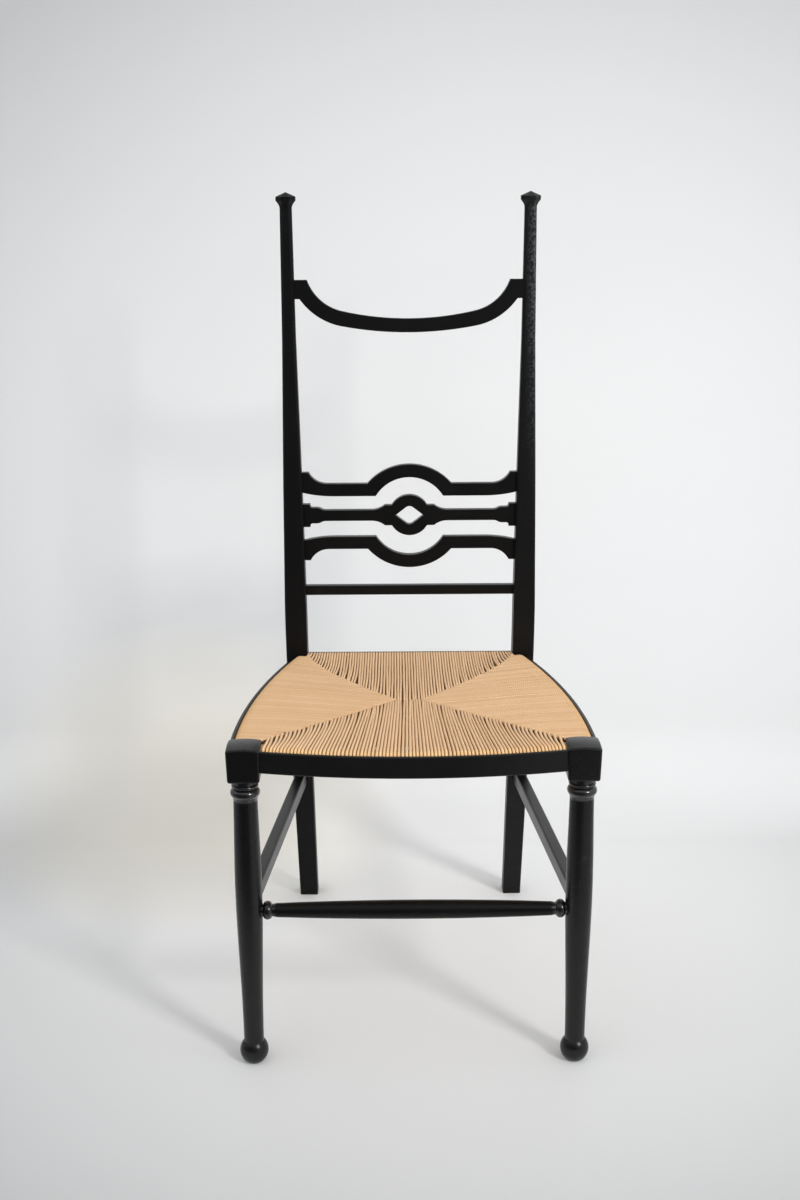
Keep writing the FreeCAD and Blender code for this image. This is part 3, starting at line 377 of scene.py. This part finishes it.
def strand_lines(rail_start, rail_end, bow, outward, path, share, hook, on_top, wave, turn_radius,
                 partings):
    """The middle lines of the strands round one rail, with what is sideways to them, their inset
    from the strip and their share of the way from the strip to the seam.

    In plan a strand leaves the rail square to it and hooks aside near its point of the seam line:
    foot + w * reach * inward + w^n * hook, w being its share of the way to the seam. n is 5, and
    less near a corner, where the strands lie along the block. At a parting the ends draw apart.
    In height it follows the seam line, the top of the rail, a quarter turn, the outer face, a
    second quarter turn and the underside back to the seam line. Where on_top is 1 the strand runs
    a little past the seam line over its neighbours; where it is 0 it dives under them."""
    count = len(share)
    rail_start, rail_end, outward = (np.asarray(place) for place in (rail_start, rail_end, outward))
    p = share[:, None]
    foot = rail_start + (rail_end - rail_start) * p + outward * bow * 4 * p * (1 - p)
    along = (rail_end - rail_start) + outward * bow * 4 * (1 - 2 * p)
    inward = np.stack([-along[:, 1], along[:, 0]], 1)
    inward *= np.sign((inward @ -outward))[:, None] / np.linalg.norm(inward, axis=1)[:, None]

    stray, parting_reach, corner_share = 0.0006, 0.02, 0.10
    aside = hook * (2 * share - 1) + stray * np.random.randn(count)
    for place, width in partings:
        aside += width * np.sign(share - place) * np.exp(-np.abs(share - place) / parting_reach)
    from_corner = np.clip(np.minimum(share, 1 - share) / corner_share, 0, 1)
    power = 1.4 + 3.6 * from_corner[:, None, None]
    dip, towards = meeting(foot, inward, path, aside)
    reach = ((dip - foot) * inward).sum(1)
    hook_end = dip - foot - inward * reach[:, None]

    past = 0.0003 + 0.0014 * on_top[:, None]
    dive = 1.25 - 0.85 * on_top[:, None]
    over = np.array([0, 0.008, 0.03, 0.09, 0.2, 0.35, 0.5, 0.65, 0.8, 0.93])
    diving = np.array([0.0030, 0.0012, 0.0002, 0, 0, 0, 0, 0, 0, 0])
    under = np.array([0.05, 0.2, 0.5, 0.8, 0.95, 1.0])
    rising = np.array([0, 0, 0, 0, 0.0006, 0.0026])
    quarter = np.radians([0, 30, 60, 90])
    turn_in = cord_inset + turn_radius * (1 - np.sin(quarter))
    turn_up = turn_radius * np.cos(quarter)
    ones = np.ones((count, 1))
    inset = np.hstack([
        reach[:, None] + past - (reach[:, None] - rail_inset) * over,
        ones * rail_inset, ones * turn_in, ones * turn_in[::-1], ones * rail_inset,
        rail_inset + (reach[:, None] - rail_inset) * under,
    ])
    height = np.hstack([
        upper_line - seam_drop * towards[:, None] * (1 - over) ** 1.25 - dive * diving,
        ones * upper_line,
        ones * (upper_line - turn_radius + turn_up),
        ones * (lower_line + turn_radius - turn_up[::-1]),
        ones * lower_line,
        lower_line + underside_rise * towards[:, None] * under**1.2 + rising,
    ])

    w = np.clip(inset / reach[:, None], 0, 1.1)
    ahead = (inward * reach[:, None])[:, None]
    plan = foot[:, None] + w[..., None] * ahead + w[..., None] ** power * hook_end[:, None]
    slope = ahead + power * w[..., None] ** (power - 1) * hook_end[:, None]
    slope /= np.linalg.norm(slope, axis=2, keepdims=True)
    sideways = np.stack([slope[..., 1], -slope[..., 0], 0 * slope[..., 0]], 2)

    full_turn, wave_unit, fade, lift, lift_start = 6.28, 0.15, 0.02, 0.00016, 0.01
    phase = np.random.rand(count, 1) * full_turn
    waves = 7 + 5 * np.random.rand(count, 1)
    waver = wave * np.sin(phase + w * waves * reach[:, None] / wave_unit)
    waver *= np.clip((inset - rail_inset) / fade, 0, 1)
    height = height + lift * np.random.randn(count, 1) * np.clip((inset - lift_start) / fade, 0, 1)
    centre = np.concatenate([plan, height[..., None]], 2) + sideways * waver[..., None]
    return centre, sideways, inset, w


def in_scene(name, mesh):
    """An object of this mesh, at the origin of the scene."""
    piece = bpy.data.objects.new(name, mesh)
    bpy.context.scene.collection.objects.link(piece)
    return piece


def strand_mesh(name, cord_radius, lines, shades, flank_shade):
    """Strands as closed tubes round their middle lines.

    A tube is a ring of six points carried along: centre + radius (cos a * sideways + sin a *
    normal), a little thinner towards the seam, with a point at each end. The cord map holds the
    length along the cord and the share of the way round it. The strand attribute holds the
    strand's shade, random and painted lighter on the front and back fields, 1 where it goes over
    the edge, and how much painted shade lies on its flanks."""
    centre, sideways, inset, w = lines
    count, rows, facets = len(centre), centre.shape[1], 6
    tangent = np.gradient(centre, axis=1)
    tangent /= np.linalg.norm(tangent, axis=2, keepdims=True)
    normal = np.cross(tangent, sideways)
    angle = 2 * math.pi * np.arange(facets) / facets
    thickness_spread, end_share = 0.03, 0.7
    thinning = 1.05 - 0.10 * np.clip(w, 0, 1)
    radius = cord_radius * (1 + thickness_spread * np.random.randn(count, 1, 1, 1))
    radius = radius * thinning[..., None, None]
    radius[:, [0, -1]] *= end_share
    ring = centre[:, :, None] + radius * (np.cos(angle)[:, None] * sideways[:, :, None]
                                          + np.sin(angle)[:, None] * normal[:, :, None])
    tilt = np.array([[1, 0, 0], [0, math.cos(seat_tilt), math.sin(seat_tilt)],
                     [0, -math.sin(seat_tilt), math.cos(seat_tilt)]])
    points = np.concatenate([ring.reshape(-1, 3), centre[:, [0, -1]].reshape(-1, 3)])
    points = (points - [0, 0, seat_top]) @ tilt.T + [0, -middle_depth, seat_top]

    index = np.arange(count * rows * facets).reshape(count, rows, facets)
    beside = np.roll(index, -1, axis=2)
    quads = np.stack([index[:, :-1], beside[:, :-1], beside[:, 1:], index[:, 1:]], 3).reshape(-1, 4)
    tip = index.size + 2 * np.arange(count)[:, None] + np.zeros(facets, int)
    near = np.stack([beside[:, 0], index[:, 0], tip], 2).reshape(-1, 3)
    far = np.stack([index[:, -1], beside[:, -1], tip + 1], 2).reshape(-1, 3)

    step = np.linalg.norm(np.diff(centre, axis=1), axis=2)
    length = np.hstack([np.zeros((count, 1)), np.cumsum(step, axis=1)]) + np.random.rand(count, 1)
    side = np.arange(facets)
    u0, u1 = length[:, :-1, None] + 0 * side, length[:, 1:, None] + 0 * side
    v0, v1 = side / facets + 0 * u0, (side + 1) / facets + 0 * u0
    quad_uv = np.stack([u0, v0, u0, v1, u1, v1, u1, v0], 3).reshape(-1, 2)
    near_uv, far_uv = (
        np.stack([end, 0.5 + 0 * end], 1).repeat(3 * facets, 0)
        for end in (length[:, 0], length[:, -1])
    )

    mesh = bpy.data.meshes.new(name)
    corners = np.concatenate([quads.ravel(), near.ravel(), far.ravel()])
    starts = np.concatenate([np.arange(len(quads)) * 4,
                             len(quads) * 4 + np.arange(len(near) + len(far)) * 3])
    mesh.vertices.add(len(points))
    mesh.vertices.foreach_set("co", points.ravel())
    mesh.loops.add(len(corners))
    mesh.loops.foreach_set("vertex_index", corners.astype(np.int32))
    mesh.polygons.add(len(starts))
    mesh.polygons.foreach_set("loop_start", starts.astype(np.int32))
    mesh.polygons.foreach_set("use_smooth", np.ones(len(starts), bool))
    uv = mesh.uv_layers.new(name="cord")
    uv.data.foreach_set("uv", np.concatenate([quad_uv, near_uv, far_uv]).ravel())

    shade = shades[0] + (shades[1] - shades[0]) * np.random.rand(count)
    edge_start, edge_width = 0.016, 0.010
    on_upper_side = centre[..., 2] > (upper_line + lower_line) / 2
    edge = np.clip((edge_start - inset) / edge_width, 0, 1) * on_upper_side
    tint = np.ones((count, rows, facets, 4))
    tint[..., 0] = shade[:, None, None]
    tint[..., 1] = edge[..., None]
    tint[..., 2] = flank_shade
    tip_tint = np.stack([shade, 0 * shade, 0 * shade + flank_shade, 0 * shade + 1], 1).repeat(2, 0)
    colour = mesh.color_attributes.new("strand", "FLOAT_COLOR", "POINT")
    tints = np.concatenate([tint.reshape(-1, 4), tip_tint]).ravel()
    colour.data.foreach_set("color", tints.astype(np.float32))
    mesh.update()
    mesh.validate()
    return in_scene(name, mesh)


def cord_material(name, light, deep):
    """Twisted paper cord. Three plies wind round it: ridge = |sin(1.5 (around + length / lay))|
    with both as angles. Each strand has its shade from the strand attribute, random and painted
    lighter on the front and back fields. Painted shade makes the grooves and the flanks,
    cos(around)^4, browner, and the edge is yellower."""
    material, tree, shader, place = new_material(name)
    uv = tree.nodes.new("ShaderNodeUVMap")
    uv.uv_map = "cord"
    strand = tree.nodes.new("ShaderNodeAttribute")
    strand.attribute_name = "strand"
    own = tree.nodes.new("ShaderNodeSeparateColor")
    tree.links.new(strand.outputs["Color"], own.inputs["Color"])
    fibre = noise(tree, place, scale=700.0, detail=3.0)
    patch = noise(tree, place, scale=22.0)

    lay = 0.0085
    groove_shade, flank_shade_colour, edge = (0.62, 0.50, 0.38), (0.70, 0.55, 0.36), (0.90, 0.86, 0.68)
    on_cord = split(tree, uv.outputs["UV"])
    along = worked_out(tree, "MULTIPLY", on_cord["X"], 2 * math.pi / lay)
    around = worked_out(tree, "MULTIPLY", on_cord["Y"], 2 * math.pi)
    turn = worked_out(tree, "MULTIPLY", worked_out(tree, "ADD", along, around), 1.5)
    ridge = worked_out(tree, "ABSOLUTE", worked_out(tree, "SINE", turn))
    # Painted shade: the flanks of each cord and the grooves between its plies are darkened browner.
    flank = worked_out(tree, "ABSOLUTE", worked_out(tree, "COSINE", around))
    flank = worked_out(tree, "MULTIPLY", worked_out(tree, "POWER", flank, 4.0), own.outputs["Blue"])

    depth = summed(tree, (own.outputs["Red"], 0.35), (fibre, 0.35), (patch, 0.30))
    paper = mixed_colour(tree, depth, light, deep)
    paper = mixed_colour(tree, mapped(tree, ridge, 0.65, 0.0), paper, groove_shade, "MULTIPLY")
    paper = mixed_colour(tree, flank, paper, flank_shade_colour, "MULTIPLY")
    paper = mixed_colour(tree, own.outputs["Green"], paper, edge, "MULTIPLY")
    put(tree, paper, shader["Base Color"])
    put(tree, mapped(tree, fibre, 0.62, 0.80), shader["Roughness"])
    shader["Specular IOR Level"].default_value = 0.12
    raised(tree, shader, summed(tree, (ridge, 0.8), (fibre, 0.2)), depth=0.0004)
    return material


paper_cord = cord_material(
    "twisted paper cord", light=(0.92, 0.652, 0.405), deep=(0.70, 0.442, 0.241))

# Painted light: shades below 0 make the front strands lighter than the side ones; the cord is the
# same.
front_share = uneven(83, spread=0.05, gaps=[
    (0.46, 0.2), (0.27, 0.15), (0.37, 0.2), (0.62, 0.15), (0.71, 0.15)])
front_strands = strand_mesh("front_cords", 0.00196, strand_lines(
    (-0.1895, -0.0183), (0.1895, -0.0183), bow=0.021, outward=(0, -1),
    path=seam_path(front_left_run, front_right_run), share=front_share, hook=0.006,
    on_top=1.0 * (front_share > 0.5), wave=0.00012, turn_radius=0.006,
    partings=[(0.28, 0.0012), (0.37, 0.0012), (0.46, 0.001), (0.69, 0.0016), (0.79, 0.0012),
              (0.85, 0.0012)],
), shades=(-1.0, -0.2), flank_shade=0.6)

# Painted light: shades below 0 make the back strands lighter than the side ones; the cord is the
# same.
back_share = uneven(79, spread=0.05, gaps=[
    (0.2, 0.15), (0.33, 0.2), (0.46, 0.2), (0.6, 0.15), (0.93, 0.3)])
back_strands = strand_mesh("back_cords", 0.00166, strand_lines(
    (-0.1523, 0.4087), (0.1523, 0.4087), bow=0.0, outward=(0, 1),
    path=seam_path(back_left_run, back_right_run), share=back_share, hook=0.005,
    on_top=0.6 * (back_share > 0.5), wave=0.00014, turn_radius=0.0095,
    partings=[(0.165, 0.0018), (0.255, 0.002), (0.6, 0.001), (0.9, 0.0016)],
), shades=(-1.0, -0.2), flank_shade=0.3)

left_share = uneven(96, spread=0.04, gaps=[(0.08, 0.6), (0.86, 0.3)])
left_strands = strand_mesh("left_cords", 0.00195, strand_lines(
    (-0.2307, 0.0215), (-0.1752, 0.3785), bow=0.014, outward=(-0.9878, 0.1555),
    path=seam_path(front_left_run, back_left_run), share=left_share, hook=0.004,
    on_top=np.ones(96), wave=0.00010, turn_radius=0.006, partings=[(0.085, 0.0035)],
), shades=(0.35, 1.3), flank_shade=0.1)

right_share = uneven(96, spread=0.04, gaps=[(0.12, 0.3), (0.73, 0.45), (0.87, 0.3)])
right_strands = strand_mesh("right_cords", 0.00195, strand_lines(
    (0.2307, 0.0215), (0.1752, 0.3785), bow=0.014, outward=(0.9878, 0.1555),
    path=seam_path(front_right_run, back_right_run), share=right_share, hook=0.004,
    on_top=0.3 * np.ones(96), wave=0.00010, turn_radius=0.006, partings=[(0.05, 0.0012)],
), shades=(0.25, 1.4), flank_shade=0.1)

for piece in (front_strands, back_strands, left_strands, right_strands):
    piece.data.materials.append(paper_cord)
    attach(piece, "root")
    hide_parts("woven_seat")


# Stuffing. Twisted offcuts of the same paper, pushed in between the two layers of cord so that
# the seat is full. It lies flat, thinner towards its rim, and shows only as the dark of a gap.

def grid_quads(rows, columns):
    """The four-cornered faces of a grid of points."""
    index = np.arange(rows * columns).reshape(rows, columns)
    corners = [index[:-1, :-1], index[1:, :-1], index[1:, 1:], index[:-1, 1:]]
    return np.stack(corners, 2).reshape(-1, 4)


def smooth_piece(name, points, quads):
    """A smooth object from points and four-cornered faces."""
    mesh = bpy.data.meshes.new(name)
    mesh.from_pydata(points.tolist(), [], quads.tolist())
    mesh.polygons.foreach_set("use_smooth", np.ones(len(quads), bool))
    return in_scene(name, mesh)


def stuffing_piece(name):
    """Two crowned sheets that meet at the rim: z = middle +- half * sqrt((1 - a^4)(1 - b^4)), with
    a and b from -1 to 1 across and in depth, and soft lumps on it."""
    steps = 61
    front_edge, whole_depth, front_half, narrowing = 0.022, 0.345, 0.166, 0.044
    middle_height, half_thickness = 0.43195, 0.0030
    a, b = np.meshgrid(np.linspace(-1, 1, steps), np.linspace(-1, 1, steps), indexing="ij")
    depth = front_edge + whole_depth * (b + 1) / 2
    x = a * (front_half - narrowing * (b + 1) / 2)
    lump = 1 + 0.10 * np.sin(19 * a + 7 * b) * np.sin(13 * b - 5 * a)
    half = half_thickness * np.sqrt(np.clip((1 - a**4) * (1 - b**4), 0, 1)) * lump
    sheets = [np.stack([x, depth, middle_height + way * half], 2) for way in (1, -1)]
    points = np.concatenate([sheet.reshape(-1, 3) for sheet in sheets])
    points[:, 2] -= points[:, 1] * math.tan(seat_tilt)
    points[:, 1] -= middle_depth
    quads = grid_quads(steps, steps)
    return smooth_piece(name, points, np.concatenate([quads, quads[:, ::-1] + steps * steps]))


def offcut_material(name):
    """Crumpled brown paper: one noise with much detail for the folds and their shade."""
    material, tree, shader, place = new_material(name)
    fold = noise(tree, place, scale=140.0, detail=5.0)
    shaded, open_fold = (0.20, 0.098, 0.040), (0.45, 0.265, 0.125)
    put(tree, mixed_colour(tree, fold, shaded, open_fold), shader["Base Color"])
    shader["Roughness"].default_value = 0.9
    raised(tree, shader, fold, depth=0.0015)
    return material


offcuts = stuffing_piece("paper_offcuts")
offcuts.data.materials.append(offcut_material("crumpled paper offcuts"))
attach(offcuts, "root")
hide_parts("seat_stuffing")


# Floor and backdrop. One pale sheet of paper that lies under the chair and sweeps up behind it in
# a tight curve. Painted light makes it brightest under and behind the chair, falling off towards
# the sides, and low on the left a warm light is painted on it.

def sweep_piece(name):
    """A profile carried across: flat floor, a quarter circle and an upright wall."""
    bend_radius, wall, front_end, top_end, half_width = 0.16, 0.592, -6.0, 3.0, 6
    quarter = np.linspace(0, math.pi / 2, 25)
    bend_y, bend_z = bend_radius * (np.sin(quarter) - 1), bend_radius * (1 - np.cos(quarter))
    y = np.concatenate([[front_end, -2.0, 0.0], wall + bend_y, [wall]])
    z = np.concatenate([[0, 0, 0], bend_z, [top_end]])
    x = np.linspace(-half_width, half_width, 13)
    points = np.stack(np.broadcast_arrays(x[:, None], y[None], z[None]), 2)
    return smooth_piece(name, points.reshape(-1, 3), grid_quads(*points.shape[:2]))


def shown_between(tree, share, first, second, end):
    """Shows the first shader where the share is 0 and the second where it is 1."""
    both = tree.nodes.new("ShaderNodeMixShader")
    for value, socket in zip((share, first, second), both.inputs):
        put(tree, value, socket)
    put(tree, both.outputs[0], tree.nodes[end].inputs["Surface"])


def sheet_material(name):
    """Matt pale paper with a very faint mottle. It is clear from behind, and what shines sees its
    front part dark, as the room beyond the sheet was: from y + 1.3 x, with x not under 0."""
    material, tree, shader, place = new_material(name)
    at = split(tree, place)

    def falling(top, least, *terms):
        """top - the sum of amount * (value - middle)^2, and never under least."""
        value = top
        for axis, middle, amount in terms:
            past = worked_out(tree, "SUBTRACT", at[axis], middle)
            drop = worked_out(tree, "MULTIPLY", worked_out(tree, "MULTIPLY", past, past), amount)
            value = worked_out(tree, "SUBTRACT", value, drop)
        return worked_out(tree, "MAXIMUM", value, least)

    # Painted light: the floor is brightest under the chair and the wall behind it, darker towards
    # the sides.
    floor_painted_light = falling(0.838, 0.4, ("X", 0.03, 0.38), ("Y", 0.26, 0.37))
    wall_painted_light = falling(0.722, 0.4, ("X", 0.12, 0.18), ("Z", 0.42, 0.24))
    tone = tree.nodes.new("ShaderNodeMix")
    upright = mapped(tree, at["Y"], 0.0, 1.0, 0.40, 0.54, smooth=True)
    for socket_name, value in (("Factor", upright), ("A", floor_painted_light), ("B", wall_painted_light)):
        put(tree, value, tone.inputs[socket_name])
    mottle = mapped(tree, noise(tree, place, scale=3.0), -0.008, 0.008)
    paper = worked_out(tree, "ADD", tone.outputs["Result"], mottle)
    # A painted warm light, low on the left.
    warm_painted_light = falling(1.0, 0.0, ("X", -0.38, 7.0), ("Y", 0.52, 6.0), ("Z", 0.02, 8.0))
    tint = mixed_colour(tree, warm_painted_light, (1.0, 1.0, 0.994), (1.07, 1.03, 0.93))
    tinted = mixed_colour(tree, 1.0, tint, paper, "MULTIPLY")

    right = worked_out(tree, "MULTIPLY", worked_out(tree, "MAXIMUM", at["X"], 0.0), 1.3)
    forward = worked_out(tree, "ADD", at["Y"], right)
    far = mapped(tree, forward, 0.0, 1.0, -0.40, -0.85, smooth=True)
    shining = tree.nodes.new("ShaderNodeLightPath").outputs["Is Glossy Ray"]
    hidden, dark_room = worked_out(tree, "MULTIPLY", far, shining), (0.03, 0.03, 0.03)
    put(tree, mixed_colour(tree, hidden, tinted, dark_room), shader["Base Color"])
    shader["Roughness"].default_value = 0.9
    shader["Specular IOR Level"].default_value = 0.1

    behind = tree.nodes.new("ShaderNodeNewGeometry").outputs["Backfacing"]
    matt = tree.nodes["Principled BSDF"].outputs[0]
    clear = tree.nodes.new("ShaderNodeBsdfTransparent").outputs[0]
    shown_between(tree, behind, matt, clear, "Material Output")
    return material


backdrop = sweep_piece("backdrop")
backdrop.data.materials.append(sheet_material("pale backdrop paper"))


# Camera. It stands in front, just above the top of the back, and looks down on the chair, with
# the small turn and tilt that the chair's own lines show in the photograph.

camera_data = bpy.data.cameras.new("camera")
camera_data.lens = 44.592
camera_data.sensor_width = 36.0
camera = bpy.data.objects.new("camera", camera_data)
turned_aside, looks_down, leans = -0.197, 15.93, -0.306
turn = (Matrix.Rotation(math.radians(turned_aside), 3, "Z")
        @ Matrix.Rotation(math.radians(90 - looks_down), 3, "X")
        @ Matrix.Rotation(math.radians(leans), 3, "Z"))
camera.rotation_euler = turn.to_euler()
camera.location = (-0.0218, -1.95238, 1.1226)
bpy.context.scene.collection.objects.link(camera)
bpy.context.scene.camera = camera


# Light. One broad soft lamp from the front right, and pale room light that is strongest near the
# horizon. The lamp gives each foot a soft shadow towards the back left.

def soft_lamp(name, place, target, size, power, colour):
    """A square lamp of this size in metres, turned from its place towards the target."""
    data = bpy.data.lights.new(name, "AREA")
    data.shape = "SQUARE"
    data.size = size
    data.energy = power
    data.color = colour
    lamp = bpy.data.objects.new(name, data)
    away = np.asarray(place) - np.asarray(target)
    lean = math.atan2(math.hypot(away[0], away[1]), away[2])
    lamp.location = place
    lamp.rotation_euler = (lean, 0, math.atan2(away[0], -away[1]))
    bpy.context.scene.collection.objects.link(lamp)


soft_lamp("key", place=(3.15, -3.55, 3.16), target=(0, 0, 0.4), size=0.9, power=120,
          colour=(1.0, 0.985, 0.965))


def room(name):
    """Pale light, strongest near the horizon. What shines sees the room in front as dark and the
    rest as pale, by 0.9 z + y + 0.32 x of the direction: less dark higher up and to the right."""
    world = bpy.data.worlds.new(name)
    world.use_nodes = True
    tree = world.node_tree
    toward = split(tree, tree.nodes.new("ShaderNodeTexCoord").outputs["Generated"])
    even = tree.nodes["Background"]
    put(tree, (0.95, 0.97, 1.0), even.inputs["Color"])
    put(tree, mapped(tree, toward["Z"], 2.06, 0.58), even.inputs["Strength"])
    open_side = summed(tree, (toward["Z"], 0.9), (toward["Y"], 1.0), (toward["X"], 0.32))
    shining = tree.nodes.new("ShaderNodeBackground")
    put(tree, (0.92, 0.96, 1.0), shining.inputs["Color"])
    put(tree, mapped(tree, open_side, 0.06, 0.75, -0.75, 0.15, smooth=True),
        shining.inputs["Strength"])
    glossy = tree.nodes.new("ShaderNodeLightPath").outputs["Is Glossy Ray"]
    shown_between(tree, glossy, even.outputs[0], shining.outputs[0], "World Output")
    return world


bpy.context.scene.world = room("room")

bpy.context.scene.view_settings.view_transform = "Standard"
